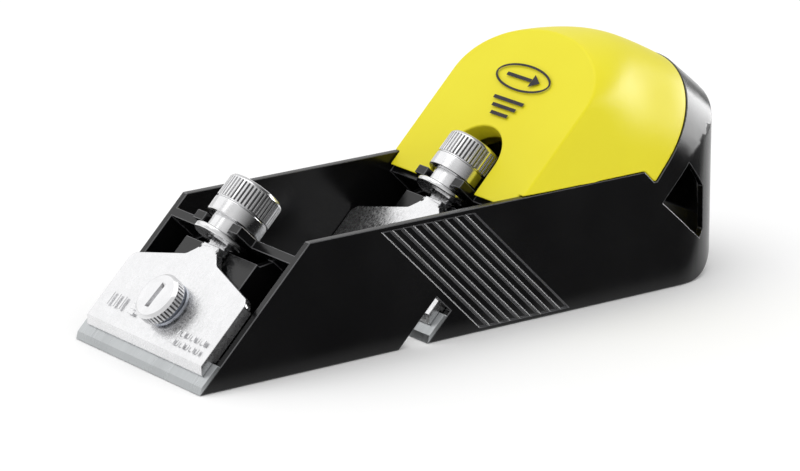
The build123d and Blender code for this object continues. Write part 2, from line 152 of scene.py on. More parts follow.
class HandPlaneView(bpy.types.PropertyGroup):
    """Camera and studio."""

    azimuth: bpy.props.FloatProperty(
        name="Azimuth",
        description="Turn of the camera round the plane",
        unit="ROTATION",
        default=radians(-36.4),
    )
    elevation: bpy.props.FloatProperty(
        name="Elevation",
        description="Height of the camera over the floor",
        unit="ROTATION",
        default=radians(16.79),
    )
    distance: bpy.props.FloatProperty(
        name="Distance", description="From the camera to the plane", unit="LENGTH", default=1.0206
    )
    lens: bpy.props.FloatProperty(name="Lens", description="Focal length in millimetres", default=200.4)
    key_power: bpy.props.FloatProperty(
        name="Key", description="Power of the softbox behind", unit="POWER", default=0.7
    )
    top_power: bpy.props.FloatProperty(
        name="Top", description="Power of the overhead light", unit="POWER", default=2.5
    )
    side_power: bpy.props.FloatProperty(
        name="Side", description="Power of the strip at the heel", unit="POWER", default=8.5
    )
    sky: bpy.props.FloatProperty(
        name="Sky", description="Brightness of the studio round the plane", default=0.9
    )


# Shader helpers


class Tree:
    """Short names for adding and joining nodes in one node tree."""

    def __init__(self, tree):
        self.tree = tree

    def add(self, kind, label="", **settings):
        node = self.tree.nodes.new(kind)
        node.label = label
        for key, value in settings.items():
            setattr(node, key, value)
        return node

    def join(self, source, target):
        self.tree.links.new(source, target)

    def maths(self, operation, first, second=None):
        node = self.add("ShaderNodeMath", operation=operation)
        for socket, value in zip(node.inputs, (first, second)):
            if value is None:
                continue
            if isinstance(value, (int, float)):
                socket.default_value = value
            else:
                self.join(value, socket)
        return node.outputs[0]


def group_sockets(tree, inputs, outputs):
    for name, kind, value in inputs:
        socket = tree.interface.new_socket(name=name, in_out="INPUT", socket_type=kind)
        socket.default_value = value
    for name, kind in outputs:
        tree.interface.new_socket(name=name, in_out="OUTPUT", socket_type=kind)


def mottle_group():
    """Two sizes of soft blotches and a fine grain, with a height for a Bump node."""
    found = bpy.data.node_groups.get("mottle")
    if found:
        return found
    group = bpy.data.node_groups.new("mottle", "ShaderNodeTree")
    floats = "NodeSocketFloat"
    group_sockets(
        group,
        [
            ("Position", "NodeSocketVector", (0, 0, 0)),
            ("Blotch Scale", floats, 120),
            ("Grain Scale", floats, 1800),
        ],
        [("Blotches", floats), ("Grain", floats), ("Height", floats)],
    )
    tree = Tree(group)
    entry = tree.add("NodeGroupInput")
    leave = tree.add("NodeGroupOutput")
    blotch = tree.add("ShaderNodeTexNoise", "Blotches")
    blotch.inputs["Detail"].default_value = 3
    grain = tree.add("ShaderNodeTexNoise", "Grain")
    grain.inputs["Detail"].default_value = 2
    for node, scale in ((blotch, "Blotch Scale"), (grain, "Grain Scale")):
        tree.join(entry.outputs["Position"], node.inputs["Vector"])
        tree.join(entry.outputs[scale], node.inputs["Scale"])
    height = tree.maths("ADD", tree.maths("MULTIPLY", blotch.outputs["Fac"], 0.4), grain.outputs["Fac"])
    tree.join(blotch.outputs["Fac"], leave.inputs["Blotches"])
    tree.join(grain.outputs["Fac"], leave.inputs["Grain"])
    tree.join(height, leave.inputs["Height"])
    return group


def lathe_group():
    """Fine rings round an axis, as turning leaves them."""
    found = bpy.data.node_groups.get("lathe_rings")
    if found:
        return found
    group = bpy.data.node_groups.new("lathe_rings", "ShaderNodeTree")
    vector, floats = "NodeSocketVector", "NodeSocketFloat"
    group_sockets(
        group,
        [
            ("Position", vector, (0, 0, 0)),
            ("Centre", vector, (0, 0, 0)),
            ("Axis", vector, (0, 0, 1)),
            ("Pitch", floats, 0.0002),
        ],
        [("Rings", floats), ("Height", floats)],
    )
    tree = Tree(group)
    entry = tree.add("NodeGroupInput")
    leave = tree.add("NodeGroupOutput")
    offset = tree.add("ShaderNodeVectorMath", operation="SUBTRACT")
    tree.join(entry.outputs["Position"], offset.inputs[0])
    tree.join(entry.outputs["Centre"], offset.inputs[1])
    along = tree.add("ShaderNodeVectorMath", operation="DOT_PRODUCT")
    tree.join(offset.outputs[0], along.inputs[0])
    tree.join(entry.outputs["Axis"], along.inputs[1])
    away = tree.add("ShaderNodeVectorMath", operation="CROSS_PRODUCT")
    tree.join(offset.outputs[0], away.inputs[0])
    tree.join(entry.outputs["Axis"], away.inputs[1])
    radius = tree.add("ShaderNodeVectorMath", operation="LENGTH")
    tree.join(away.outputs[0], radius.inputs[0])
    travel = tree.maths("ADD", along.outputs["Value"], radius.outputs["Value"])
    wave = tree.maths(
        "SINE", tree.maths("MULTIPLY", tree.maths("DIVIDE", travel, entry.outputs["Pitch"]), 2 * pi)
    )
    uneven = tree.add("ShaderNodeTexNoise", "Uneven feed")
    uneven.noise_dimensions = "1D"
    uneven.inputs["Scale"].default_value = 2600
    tree.join(travel, uneven.inputs["W"])
    rings = tree.maths("MULTIPLY", tree.maths("ADD", wave, 1), uneven.outputs["Fac"])
    tree.join(rings, leave.inputs["Rings"])
    tree.join(rings, leave.inputs["Height"])
    return group


def scratch_group():
    """Straight fine lines that run along one direction, as a grinding wheel leaves them."""
    found = bpy.data.node_groups.get("ground_lines")
    if found:
        return found
    group = bpy.data.node_groups.new("ground_lines", "ShaderNodeTree")
    group_sockets(
        group,
        [("Position", "NodeSocketVector", (0, 0, 0)), ("Scale", "NodeSocketFloat", 900)],
        [("Lines", "NodeSocketFloat"), ("Height", "NodeSocketFloat")],
    )
    tree = Tree(group)
    entry = tree.add("NodeGroupInput")
    leave = tree.add("NodeGroupOutput")
    stretch = tree.add("ShaderNodeMapping", "Lines run up the slope")
    stretch.inputs["Scale"].default_value = (0.03, 1.0, 0.03)
    tree.join(entry.outputs["Position"], stretch.inputs["Vector"])
    lines = tree.add("ShaderNodeTexNoise", "Grinding lines")
    lines.inputs["Detail"].default_value = 4
    tree.join(stretch.outputs["Vector"], lines.inputs["Vector"])
    tree.join(entry.outputs["Scale"], lines.inputs["Scale"])
    tree.join(lines.outputs["Fac"], leave.inputs["Lines"])
    tree.join(lines.outputs["Fac"], leave.inputs["Height"])
    return group


def new_material(name):
    """An empty material with its shader and the position it reads."""
    if name in bpy.data.materials:
        raise RuntimeError(f"there is already a material called {name}")
    material = bpy.data.materials.new(name)
    material.use_nodes = True
    tree = Tree(material.node_tree)
    shader = material.node_tree.nodes["Principled BSDF"]
    place = tree.add("ShaderNodeTexCoord").outputs["Object"]
    return material, tree, shader, place


def use_group(tree, group, place, **values):
    node = tree.add("ShaderNodeGroup", node_tree=group)
    tree.join(place, node.inputs["Position"])
    for key, value in values.items():
        node.inputs[key.replace("_", " ")].default_value = value
    return node


def spread(tree, source, low, high, start=0.3, end=0.7):
    """Maps a mask onto a range of values."""
    node = tree.add("ShaderNodeMapRange")
    for socket, value in zip(("From Min", "From Max", "To Min", "To Max"), (start, end, low, high)):
        node.inputs[socket].default_value = value
    tree.join(source, node.inputs["Value"])
    return node.outputs["Result"]


def two_colours(tree, mask, first, second):
    node = tree.add("ShaderNodeMix", data_type="RGBA")
    node.inputs["A"].default_value = (*first, 1)
    node.inputs["B"].default_value = (*second, 1)
    tree.join(mask, node.inputs["Factor"])
    return node.outputs["Result"]


def bump(tree, shader, height, distance, strength=1.0, under=None):
    node = tree.add("ShaderNodeBump")
    node.inputs["Distance"].default_value = distance
    node.inputs["Strength"].default_value = strength
    tree.join(height, node.inputs["Height"])
    if under is not None:
        tree.join(under, node.inputs["Normal"])
    tree.join(node.outputs["Normal"], shader.inputs["Normal"])
    return node.outputs["Normal"]


def scaled(colour, share):
    return tuple(min(channel * share, 1) for channel in colour)


def body_material(finish):
    """Satin black moulding with a faint texture and slight wear in its gloss."""
    material, tree, shader, place = new_material("black_moulding")
    mottle = use_group(tree, mottle_group(), place, Blotch_Scale=70, Grain_Scale=2600)
    shade = two_colours(tree, mottle.outputs["Blotches"], finish.body_colour, scaled(finish.body_colour, 1.6))
    tree.join(shade, shader.inputs["Base Color"])
    tree.join(spread(tree, mottle.outputs["Blotches"], 0.17, 0.27), shader.inputs["Roughness"])
    shader.inputs["Specular IOR Level"].default_value = 0.4
    bump(tree, shader, mottle.outputs["Grain"], 0.00001, 0.25)
    return material


def edge_highlight_material(finish):
    """Edges of the moulding: glossier than the faces, and painted a lighter grey as a painted highlight along
    every edge, with duller stretches.
    """
    material, tree, shader, place = new_material("body_edge_highlights")
    mottle = use_group(tree, mottle_group(), place, Blotch_Scale=180, Grain_Scale=1800)
    shade = two_colours(tree, mottle.outputs["Blotches"], finish.edge_highlight_colour, scaled(finish.edge_highlight_colour, 0.5))
    tree.join(shade, shader.inputs["Base Color"])
    tree.join(spread(tree, mottle.outputs["Blotches"], 0.2, 0.32), shader.inputs["Roughness"])
    shader.inputs["Specular IOR Level"].default_value = 1.0
    return material


def knurl_shade_material(finish):
    """Bottoms of the knurl, painted dark as painted shade in the grooves, in uneven blotches."""
    material, tree, shader, place = new_material("knurl_painted_shade")
    mottle = use_group(tree, mottle_group(), place, Blotch_Scale=400, Grain_Scale=2600)
    # Painted shade: the plating colour darkened to 8 per cent for the groove bottoms.
    groove_shade = scaled(finish.plate_colour, 0.08)
    shade = two_colours(tree, mottle.outputs["Blotches"], groove_shade, scaled(finish.plate_colour, 0.2))
    tree.join(shade, shader.inputs["Base Color"])
    shader.inputs["Metallic"].default_value = 1
    tree.join(spread(tree, mottle.outputs["Grain"], 0.35, 0.55), shader.inputs["Roughness"])
    return material


def handle_material(finish):
    """Gloss yellow moulding with slow changes of tone and a soft ripple."""
    material, tree, shader, place = new_material("yellow_moulding")
    mottle = use_group(tree, mottle_group(), place, Blotch_Scale=28, Grain_Scale=900)
    shade = two_colours(
        tree, spread(tree, mottle.outputs["Blotches"], 0, 0.5), finish.handle_colour, finish.handle_shade
    )
    tree.join(shade, shader.inputs["Base Color"])
    tree.join(spread(tree, mottle.outputs["Blotches"], 0.38, 0.48), shader.inputs["Roughness"])
    bump(tree, shader, mottle.outputs["Grain"], 0.00002, 0.35)
    shader.inputs["Specular IOR Level"].default_value = 0.25
    return material


def plate_material(finish):
    """Bright plating over a casting, with its orange-peel ripple and dull specks."""
    material, tree, shader, place = new_material("plated_casting")
    mottle = use_group(tree, mottle_group(), place, Blotch_Scale=260, Grain_Scale=1500)
    shade = two_colours(
        tree, mottle.outputs["Blotches"], finish.plate_colour, scaled(finish.plate_colour, 0.86)
    )
    tree.join(shade, shader.inputs["Base Color"])
    shader.inputs["Metallic"].default_value = 1
    tree.join(spread(tree, mottle.outputs["Grain"], 0.2, 0.36), shader.inputs["Roughness"])
    bump(tree, shader, mottle.outputs["Height"], 0.00006, 0.55)
    return material


def turned_material(name, finish, centre, axis):
    """Bright plating over turned metal, with fine rings round the axis."""
    material, tree, shader, place = new_material(name)
    rings = use_group(tree, lathe_group(), place, Centre=centre, Axis=axis, Pitch=0.00022)
    mottle = use_group(tree, mottle_group(), place, Blotch_Scale=300, Grain_Scale=2200)
    shade = two_colours(
        tree, mottle.outputs["Blotches"], finish.plate_colour, scaled(finish.plate_colour, 0.82)
    )
    tree.join(shade, shader.inputs["Base Color"])
    shader.inputs["Metallic"].default_value = 1
    tree.join(spread(tree, rings.outputs["Rings"], 0.13, 0.26, 0, 1.4), shader.inputs["Roughness"])
    bump(tree, shader, rings.outputs["Height"], 0.000008, 0.5)
    return material


def blade_material(finish):
    """Steel ground across the edge, a little darker where oil has stained it."""
    material, tree, shader, place = new_material("ground_steel")
    ground = use_group(tree, scratch_group(), place, Scale=2400)
    mottle = use_group(tree, mottle_group(), place, Blotch_Scale=90, Grain_Scale=1200)
    shade = two_colours(
        tree, mottle.outputs["Blotches"], finish.blade_colour, scaled(finish.blade_colour, 0.78)
    )
    tree.join(shade, shader.inputs["Base Color"])
    shader.inputs["Metallic"].default_value = 1
    tree.join(spread(tree, ground.outputs["Lines"], 0.24, 0.46), shader.inputs["Roughness"])
    bump(tree, shader, ground.outputs["Height"], 0.00002, 0.6)
    return material


def zinc_material(finish):
    """Zinc plating with a cloudy bluish bloom."""
    material, tree, shader, place = new_material("zinc_plate")
    mottle = use_group(tree, mottle_group(), place, Blotch_Scale=420, Grain_Scale=2600)
    bluish = (finish.zinc_colour[0] * 0.8, finish.zinc_colour[1] * 0.86, finish.zinc_colour[2] * 0.98)
    tree.join(
        two_colours(tree, mottle.outputs["Blotches"], finish.zinc_colour, bluish), shader.inputs["Base Color"]
    )
    shader.inputs["Metallic"].default_value = 1
    tree.join(spread(tree, mottle.outputs["Blotches"], 0.24, 0.42), shader.inputs["Roughness"])
    bump(tree, shader, mottle.outputs["Grain"], 0.00001, 0.4)
    return material


def brass_material(finish):
    """Turned brass, dulled in patches."""
    material, tree, shader, place = new_material("turned_brass")
    mottle = use_group(tree, mottle_group(), place, Blotch_Scale=500, Grain_Scale=3000)
    dull = scaled(finish.brass_colour, 0.6)
    tree.join(
        two_colours(tree, mottle.outputs["Blotches"], finish.brass_colour, dull), shader.inputs["Base Color"]
    )
    shader.inputs["Metallic"].default_value = 1
    tree.join(spread(tree, mottle.outputs["Grain"], 0.22, 0.4), shader.inputs["Roughness"])
    return material


def ink_material(finish):
    """Printed ink, thin and slightly uneven."""
    material, tree, shader, place = new_material("printed_ink")
    mottle = use_group(tree, mottle_group(), place, Blotch_Scale=600, Grain_Scale=4000)
    faded = scaled(finish.ink_colour, 2.6)
    tree.join(
        two_colours(tree, mottle.outputs["Grain"], finish.ink_colour, faded), shader.inputs["Base Color"]
    )
    tree.join(spread(tree, mottle.outputs["Blotches"], 0.4, 0.6), shader.inputs["Roughness"])
    shader.inputs["Specular IOR Level"].default_value = 0.3
    return material


def floor_material(finish):
    """Matt pale paper, painted near black in front of the plane for reflections only, a painted dark
    reflection.
    """
    material, tree, shader, place = new_material("floor_paper")
    mottle = use_group(tree, mottle_group(), place, Blotch_Scale=3, Grain_Scale=400)
    pale = scaled(finish.floor_colour, 0.99)
    paper = two_colours(tree, mottle.outputs["Blotches"], finish.floor_colour, pale)
    side = tree.add("ShaderNodeVectorMath", operation="DOT_PRODUCT")
    side.inputs[1].default_value = (0, -1, 0)
    tree.join(place, side.inputs[0])
    in_front = spread(tree, side.outputs["Value"], 0, 1, 0.026, 0.034)
    # Painted reflection: the floor in front turns near black only for glossy rays, so the plating and the
    # black moulding mirror a dark field.
    darker_in_reflections = tree.add("ShaderNodeMix", "Floor painted near black in front, seen only in reflections", data_type="RGBA")
    darker_in_reflections.inputs["B"].default_value = (*scaled(finish.floor_colour, 0.04), 1)
    glossy = tree.add("ShaderNodeLightPath").outputs["Is Glossy Ray"]
    tree.join(tree.maths("MULTIPLY", glossy, in_front), darker_in_reflections.inputs["Factor"])
    tree.join(paper, darker_in_reflections.inputs["A"])
    tree.join(darker_in_reflections.outputs["Result"], shader.inputs["Base Color"])
    shader.inputs["Roughness"].default_value = 0.95
    shader.inputs["Specular IOR Level"].default_value = 0.1
    return material


def material_named(name):
    """A material that the finishes operator has made."""
    material = bpy.data.materials.get(name)
    if material is None:
        raise RuntimeError(f"make the finishes first: there is no {name}")
    return material


# Modelling helpers


def alone(piece):
    """Selects one piece and nothing else."""
    if bpy.context.object and bpy.context.object.mode != "OBJECT":
        bpy.ops.object.mode_set(mode="OBJECT")
    bpy.ops.object.select_all(action="DESELECT")
    bpy.context.view_layer.objects.active = piece
    piece.select_set(True)


def edit(piece, mode="FACE"):
    alone(piece)
    bpy.ops.object.mode_set(mode="EDIT")
    bpy.ops.mesh.select_mode(type=mode)


def done():
    bpy.ops.object.mode_set(mode="OBJECT")


def settle(piece, turn):
    """Puts a piece modelled round the origin in its place, with its place in its mesh."""
    alone(piece)
    piece.matrix_world = turn
    bpy.ops.object.transform_apply(location=True, rotation=True, scale=True)


def facing(origin, first, second, third):
    """Matrix that puts local X, Y and Z on three directions at an origin."""
    turn = Matrix((first, second, third)).transposed().to_4x4()
    turn.translation = origin
    return turn


def bed_place(unit):
    """A unit's bed: local X up the slope, Y across, Z out of the bed."""
    return facing(edge_place(unit), SLOPE, ACROSS, OUT)


def smooth(piece, degrees=30):
    alone(piece)
    bpy.ops.object.shade_smooth_by_angle(angle=radians(degrees))
    modifier = piece.modifiers.new("flat_faces", "WEIGHTED_NORMAL")
    modifier.weight = 100
    modifier.keep_sharp = True
    bpy.ops.object.modifier_apply(modifier=modifier.name)


def bevel(piece, width, segments=2, degrees=30, clamp=True, material=-1):
    """Rounds the piece's sharp edges, in the material of one of its slots."""
    alone(piece)
    modifier = piece.modifiers.new("edges", "BEVEL")
    modifier.width = width
    modifier.segments = segments
    modifier.limit_method = "ANGLE"
    modifier.angle_limit = radians(degrees)
    modifier.use_clamp_overlap = clamp
    modifier.material = material
    bpy.ops.object.modifier_apply(modifier=modifier.name)


def kept_inside(piece, node):
    """Pulls back any corner that rounding has pushed past the node's own box."""
    low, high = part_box(node)
    for corner in piece.data.vertices:
        for axis in range(3):
            corner.co[axis] = min(max(corner.co[axis], low[axis]), high[axis])


def outward(piece):
    edit(piece)
    bpy.ops.mesh.select_all(action="SELECT")
    bpy.ops.mesh.normals_make_consistent(inside=False)
    done()


def coated(piece, *names):
    """Gives a piece its materials in the order of its slots."""
    piece.data.materials.clear()
    for name in names:
        piece.data.materials.append(material_named(name))


def recoated(piece, *names):
    """Changes the materials in a piece's slots and keeps which face has which."""
    for place, name in enumerate(names):
        piece.data.materials[place] = material_named(name)


def finished(piece, body, slot, *nodes):
    """Gives a piece its body, and hides the nodes that it stands for. The slot is not used."""
    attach(piece, body)
    if nodes:
        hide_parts(*nodes)
    return piece


def copied_node(node, name, flat=0.6):
    """A copy of a node of the design model, with its doubles merged and its flat faces made whole."""
    piece = bpy.data.objects.new(name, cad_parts[node].data.copy())
    bpy.context.scene.collection.objects.link(piece)
    edit(piece, "VERT")
    bpy.ops.mesh.select_all(action="SELECT")
    bpy.ops.mesh.remove_doubles(threshold=0.000002)
    bpy.ops.mesh.dissolve_limited(angle_limit=radians(flat))
    done()
    return piece


def duplicated(piece, name):
    """A copy of a piece with a mesh of its own."""
    copy = piece.copy()
    copy.data = piece.data.copy()
    copy.name = name
    bpy.context.scene.collection.objects.link(copy)
    return copy


def turned(name, profile, sides):
    """A turned solid round Z, extruded ring by ring through (radius, height) pairs in millimetres."""
    bpy.ops.object.select_all(action="DESELECT")
    radius, height = profile[0]
    bpy.ops.mesh.primitive_circle_add(vertices=sides, radius=radius * MM, fill_type="NGON")
    piece = bpy.context.object
    piece.name = name
    bpy.ops.object.mode_set(mode="EDIT")
    bpy.ops.mesh.select_mode(type="FACE")
    bpy.ops.mesh.select_all(action="SELECT")
    bpy.ops.transform.translate(value=(0, 0, height * MM))
    for next_radius, next_height in profile[1:]:
        rise = (next_height - height) * MM
        bpy.ops.mesh.extrude_region_move(TRANSFORM_OT_translate={"value": (0, 0, rise)})
        share = next_radius / radius
        bpy.ops.transform.resize(value=(share, share, 1), center_override=(0, 0, next_height * MM))
        radius, height = next_radius, next_height
    done()
    outward(piece)
    return piece


def knurl(piece, teeth, low, high, depth, margin):
    """Presses straight grooves into every other side face of a band between two heights, and gives their
    bottoms the second slot, a painted shade.
    """
    chosen = 0
    step = pi / teeth
    for face in piece.data.polygons:
        centre = face.center
        level = abs(face.normal.z) < 0.05 and low * MM < centre.z < high * MM
        turn = int(round(atan2(centre.y, centre.x) / step - 0.5))
        face.select = level and turn % 2 == 0
        chosen += face.select
    if chosen != teeth:
        raise RuntimeError(f"{piece.name}: {chosen} grooves chosen, {teeth} wanted")
    alone(piece)
    bpy.ops.object.mode_set(mode="EDIT")
    bpy.ops.mesh.select_mode(type="FACE")
    bpy.ops.mesh.inset(thickness=margin, use_individual=True)
    bpy.ops.transform.shrink_fatten(value=-depth)
    # The groove bottoms take the second slot, painted dark as shade.
    piece.active_material_index = 1
    bpy.ops.object.material_slot_assign()
    done()


def block(name, size, centre):
    """A block, as the start of a raised mark."""
    bpy.ops.object.select_all(action="DESELECT")
    bpy.ops.mesh.primitive_cube_add(size=1)
    piece = bpy.context.object
    piece.name = name
    bpy.ops.object.mode_set(mode="EDIT")
    bpy.ops.mesh.select_all(action="SELECT")
    bpy.ops.transform.resize(value=tuple(length * MM for length in size))
    bpy.ops.transform.translate(value=tuple(place * MM for place in centre))
    done()
    return piece


def joined(pieces, name):
    """One piece made of several."""
    alone(pieces[0])
    for piece in pieces:
        piece.select_set(True)
    bpy.ops.object.join()
    pieces[0].name = name
    return pieces[0]


# Operators


class HANDPLANE_OT_finishes(bpy.types.Operator):
    """Makes the materials and gives them to the pieces that the design model keeps"""

    bl_idname = "handplane.finishes"
    bl_label = "Finishes"

    def execute(self, context):
        finish = context.scene.hand_plane_finish
        body_material(finish)
        edge_highlight_material(finish)
        knurl_shade_material(finish)
        handle_material(finish)
        plate_material(finish)
        blade_material(finish)
        ink_material(finish)
        floor_material(finish)
        zinc = zinc_material(finish)
        brass = brass_material(finish)
        for unit in UNITS:
            turned_material(f"{unit}_nut_plate", finish, nut_centre(unit), SLOPE)
            turned_material(f"{unit}_knob_plate", finish, knob_centre(unit), OUT)
        for name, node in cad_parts.items():
            for slot in node.material_slots:
                slot.material = brass if "insert" in name else zinc
        return {"FINISHED"}


class HANDPLANE_OT_body(bpy.types.Operator):
    """Body with rounded edges, painted lighter grey as a highlight"""

    bl_idname = "handplane.body"
    bl_label = "Body"

    def execute(self, context):
        sizes = context.scene.hand_plane_sizes
        shell = copied_node("body", "body_shell")
        coated(shell, "black_moulding", "body_edge_highlights")
        # The bevel faces take the second slot: the painted edge highlight.
        bevel(shell, sizes.body_edge, segments=2, degrees=32, clamp=False, material=1)
        kept_inside(shell, "body")
        smooth(shell, 35)
        finished(shell, "plane_body", "body_plastic", "body")
        return {"FINISHED"}


class HANDPLANE_OT_handle(bpy.types.Operator):
    """Palm handle with rounded edges"""

    bl_idname = "handplane.handle"
    bl_label = "Handle"

    def execute(self, context):
        sizes = context.scene.hand_plane_sizes
        shell = copied_node("handle", "handle_shell", flat=0.2)
        bevel(shell, sizes.handle_edge, segments=3, degrees=32, clamp=False)
        kept_inside(shell, "handle")
        smooth(shell, 40)
        coated(shell, "yellow_moulding")
        finished(shell, "plane_body", "handle_plastic", "handle")
        return {"FINISHED"}


class HANDPLANE_OT_travel_mark(bpy.types.Operator):
    """Plain outlined panel with a travel arrow, printed on the handle's front face"""

    bl_idname = "handplane.travel_mark"
    bl_label = "Travel mark"

    def execute(self, context):
        face_height = 1.63 + 0.03
        middle = 67.8
        bpy.ops.object.select_all(action="DESELECT")
        bpy.ops.mesh.primitive_circle_add(vertices=64, radius=1, fill_type="NGON")
        panel = context.object
        bpy.ops.object.mode_set(mode="EDIT")
        bpy.ops.mesh.select_mode(type="FACE")
        bpy.ops.mesh.select_all(action="SELECT")
        bpy.ops.transform.resize(value=(3.6 * MM, 9.8 * MM, 1))
        bpy.ops.mesh.inset(thickness=0.55 * MM)
        bpy.ops.mesh.delete(type="FACE")
        bpy.ops.mesh.select_all(action="SELECT")
        bpy.ops.mesh.extrude_region_move(TRANSFORM_OT_translate={"value": (0, 0, 0.03 * MM)})
        bpy.ops.mesh.select_all(action="SELECT")
        bpy.ops.transform.translate(value=(middle * MM, 0, face_height * MM))
        bpy.ops.mesh.normals_make_consistent(inside=False)
        done()
        shaft = block("mark_shaft", (0.9, 9.0, 0.03), (middle, 1.4, face_height + 0.015))
        bpy.ops.object.select_all(action="DESELECT")
        bpy.ops.mesh.primitive_circle_add(vertices=3, radius=2 * MM, fill_type="NGON")
        head = context.object
        bpy.ops.object.mode_set(mode="EDIT")
        bpy.ops.mesh.select_all(action="SELECT")
        bpy.ops.transform.rotate(value=pi, orient_axis="Z", center_override=(0, 0, 0))
        bpy.ops.mesh.extrude_region_move(TRANSFORM_OT_translate={"value": (0, 0, 0.03 * MM)})
        bpy.ops.mesh.select_all(action="SELECT")
        bpy.ops.transform.translate(value=(middle * MM, -4.2 * MM, face_height * MM))
        bpy.ops.mesh.normals_make_consistent(inside=False)
        done()
        level = face_height + 0.015
        bars = [block("mark_bar", (0.9, 11 - 2.4 * n, 0.03), (61.4 - 2 * n, -0.4, level)) for n in range(3)]
        mark = joined([panel, shaft, head] + bars, "handle_travel_mark")
        settle(mark, bed_place("mid"))
        coated(mark, "printed_ink")
        finished(mark, "plane_body", "body_plastic")
        return {"FINISHED"}


class HANDPLANE_OT_holders(bpy.types.Operator):
    """Cast plates that hold the blades, each with plain raised marks"""

    bl_idname = "handplane.holders"
    bl_label = "Blade holders"

    def execute(self, context):
        sizes = context.scene.hand_plane_sizes
        for unit in UNITS:
            plate = copied_node(f"{unit}_holder", f"{unit}_holder_plate")
            bevel(plate, sizes.plate_edge, segments=2, degrees=30, clamp=False)
            smooth(plate, 35)
            coated(plate, "plated_casting")
            finished(plate, f"{unit}_carriage", "cast_plate", f"{unit}_holder")
        tall = sizes.mark_height / MM
        level = 3.0 + tall / 2 - 0.02
        marks = [block("mark", (3.4, 0.8, tall), (11.6, 18.6 - 2.4 * n, level)) for n in range(3)]
        marks += [block("mark", (0.8, 2.2, tall), (10.3 + 1.3 * n, 9.0, level)) for n in range(3)]
        for row in range(2):
            for n in range(6):
                place = (10.8 - 2.4 * row, -10.0 - 1.9 * n, level)
                marks.append(block("mark", (1.3, 0.7 + 0.5 * ((n + row) % 2), tall), place))
        group = joined(marks, "holder_marks")
        bevel(group, 0.08 * MM, segments=2)
        smooth(group)
        for unit in UNITS:
            copy = duplicated(group, f"{unit}_holder_marks")
            settle(copy, bed_place(unit))
            coated(copy, "plated_casting")
            finished(copy, f"{unit}_carriage", "cast_plate")
        bpy.data.objects.remove(group)
        return {"FINISHED"}


class HANDPLANE_OT_blades(bpy.types.Operator):
    """Ground blades"""

    bl_idname = "handplane.blades"
    bl_label = "Blades"

    def execute(self, context):
        sizes = context.scene.hand_plane_sizes
        for unit in UNITS:
            blade = copied_node(f"{unit}_blade", f"{unit}_ground_blade")
            bevel(blade, sizes.blade_edge, segments=1, degrees=50, clamp=False)
            smooth(blade, 20)
            coated(blade, "ground_steel")
            finished(blade, f"{unit}_carriage", "blade_steel", f"{unit}_blade")
        return {"FINISHED"}


class HANDPLANE_OT_depth_nuts(bpy.types.Operator):
    """Turned nuts with a flange, a groove, a collar and a knurled grip"""

    bl_idname = "handplane.depth_nuts"
    bl_label = "Depth nuts"

    def execute(self, context):
        sizes = context.scene.hand_plane_sizes
        profile = [
            (3.5, 36.6),
            (3.5, 33.9),
            (3.9, 33.6),
            (6.75, 33.6),
            (7.0, 33.85),
            (7.0, 34.75),
            (6.75, 35.0),
            (4.9, 35.0),
            (4.9, 38.6),
            (6.7, 38.6),
            (6.9, 38.8),
            (6.9, 41.9),
            (6.75, 42.1),
            (6.6, 42.15),
            (6.6, 42.4),
            (6.92, 42.45),
            (6.92, 47.5),
            (6.85, 47.75),
            (6.5, 48.25),
            (5.9, 48.5),
            (5.2, 48.62),
            (4.4, 48.65),
            (3.6, 48.55),
        ]
        nut = turned("nut", profile, 2 * sizes.nut_teeth)
        coated(nut, "front_nut_plate", "knurl_painted_shade")
        knurl(nut, sizes.nut_teeth, 42.6, 47.4, sizes.nut_knurl, 0.07 * MM)
        bevel(nut, 0.05 * MM, segments=1, degrees=32)
        smooth(nut, 28)
        for unit in UNITS:
            copy = duplicated(nut, f"{unit}_knurled_nut")
            settle(copy, facing(edge_place(unit) + OUT * MM, ACROSS, OUT, SLOPE))
            recoated(copy, f"{unit}_nut_plate", "knurl_painted_shade")
            finished(copy, f"{unit}_nut", "knurled_plate", f"{unit}_depth_nut")
        bpy.data.objects.remove(nut)
        return {"FINISHED"}


class HANDPLANE_OT_clamp_knobs(bpy.types.Operator):
    """Knurled screws with a slot for a coin"""

    bl_idname = "handplane.clamp_knobs"
    bl_label = "Clamp knobs"

    def execute(self, context):
        sizes = context.scene.hand_plane_sizes
        profile = [
            (1.3, -7.0),
            (1.95, -6.4),
            (1.95, 3.8),
            (5.3, 3.8),
            (5.5, 3.95),
            (5.5, 4.1),
            (5.95, 4.15),
            (5.95, 6.35),
            (5.8, 6.45),
            (5.3, 6.95),
            (5.15, 7.0),
            (3.0, 7.0),
        ]
        knob = turned("knob", profile, 2 * sizes.knob_teeth)
        coated(knob, "front_knob_plate", "knurl_painted_shade")
        knurl(knob, sizes.knob_teeth, 4.3, 6.3, sizes.knob_knurl, 0.06 * MM)
        bpy.ops.object.select_all(action="DESELECT")
        bpy.ops.mesh.primitive_cylinder_add(vertices=72, radius=5.2 * MM, depth=sizes.coin_slot)
        coin = context.object
        slot_turn = Matrix.Rotation(radians(-4), 4, "Z") @ Matrix.Rotation(radians(90), 4, "X")
        settle(coin, Matrix.Translation((0, 0, (7.0 + 5.2 - 1.2) * MM)) @ slot_turn)
        alone(knob)
        cut = knob.modifiers.new("slot", "BOOLEAN")
        cut.operation = "DIFFERENCE"
        cut.object = coin
        cut.solver = "EXACT"
        bpy.ops.object.modifier_apply(modifier=cut.name)
        bpy.data.objects.remove(coin)
        bevel(knob, 0.05 * MM, segments=1, degrees=32)
        smooth(knob, 28)
        for unit in UNITS:
            copy = duplicated(knob, f"{unit}_knurled_knob")
            settle(copy, facing(edge_place(unit) + SLOPE * CLAMP_ALONG, SLOPE, ACROSS, OUT))
            recoated(copy, f"{unit}_knob_plate", "knurl_painted_shade")
            finished(copy, f"{unit}_knob", "knurled_plate", f"{unit}_clamp_knob")
        bpy.data.objects.remove(knob)
        return {"FINISHED"}


